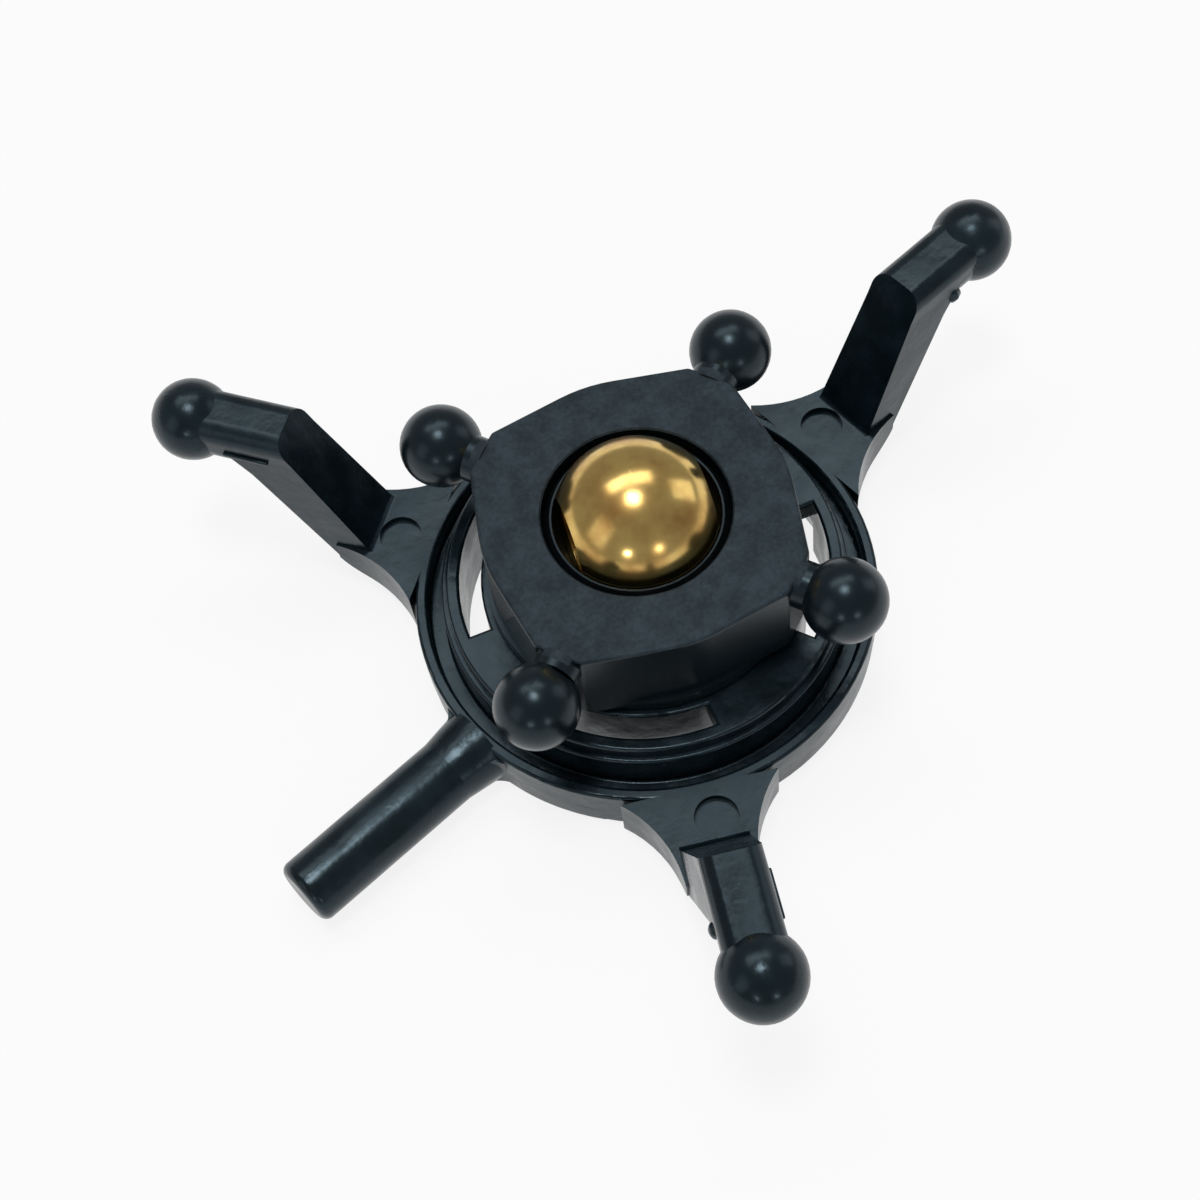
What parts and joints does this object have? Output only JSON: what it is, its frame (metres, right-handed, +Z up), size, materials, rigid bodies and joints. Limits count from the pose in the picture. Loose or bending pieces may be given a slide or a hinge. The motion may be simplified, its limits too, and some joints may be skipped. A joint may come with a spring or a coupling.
{
  "type": "helicopter swashplate",
  "caption": "Model-helicopter swashplate: ring with servo arms and anti-rotation pin, ball bearing, four-armed rotating star and brass pivot ball.",
  "frame": {"origin": "centre of the brass pivot ball, which is also the height of every link ball", "axes": "+Z up the main shaft towards the rotor head, +X along the first servo arm, so the anti-rotation pin points along -X"},
  "size_m": [0.0352, 0.0324, 0.0101],
  "materials": {
    "ring_nylon": "semi-gloss moulded, filled nylon",
    "star_nylon": "spark-eroded matt",
    "liner_acetal": "smooth moulded acetal",
    "turned_brass": "polished, turned",
    "race_steel": "ground",
    "ball_steel": "polished",
    "cage_nylon": "smooth moulded"
  },
  "bodies": {
    "swash_ring": {"outer_ring": "ring_nylon", "bearing_outer_race": "race_steel"},
    "star": {"rotating_star": "star_nylon", "bearing_inner_race": "race_steel", "socket_liner": "liner_acetal"},
    "ball_cage": {"bearing_cage": "cage_nylon", "bearing_ball_01": "ball_steel", "bearing_ball_02": "ball_steel", "bearing_ball_03": "ball_steel", "bearing_ball_04": "ball_steel", "bearing_ball_05": "ball_steel", "bearing_ball_06": "ball_steel", "bearing_ball_07": "ball_steel", "bearing_ball_08": "ball_steel", "bearing_ball_09": "ball_steel", "bearing_ball_10": "ball_steel"},
    "pivot": {"pivot_ball": "turned_brass"}
  },
  "joints": [
    {"name": "star_spin", "type": "hinge", "parent": "swash_ring", "child": "star", "pos_m": [0, 0, 0], "axis": [0, 0, 1], "continuous": true},
    {"name": "cage_orbit", "type": "hinge", "parent": "swash_ring", "child": "ball_cage", "pos_m": [0, 0, -0.00515], "axis": [0, 0, 1], "continuous": true},
    {"name": "pivot_swivel", "type": "hinge", "parent": "star", "child": "pivot", "pos_m": [0, 0, 0], "axis": [0.4067, 0.9135, 0], "continuous": true}
  ],
  "couplings": [
    {"joint": "cage_orbit", "follows": "star_spin", "ratio": 0.43333}
  ]
}
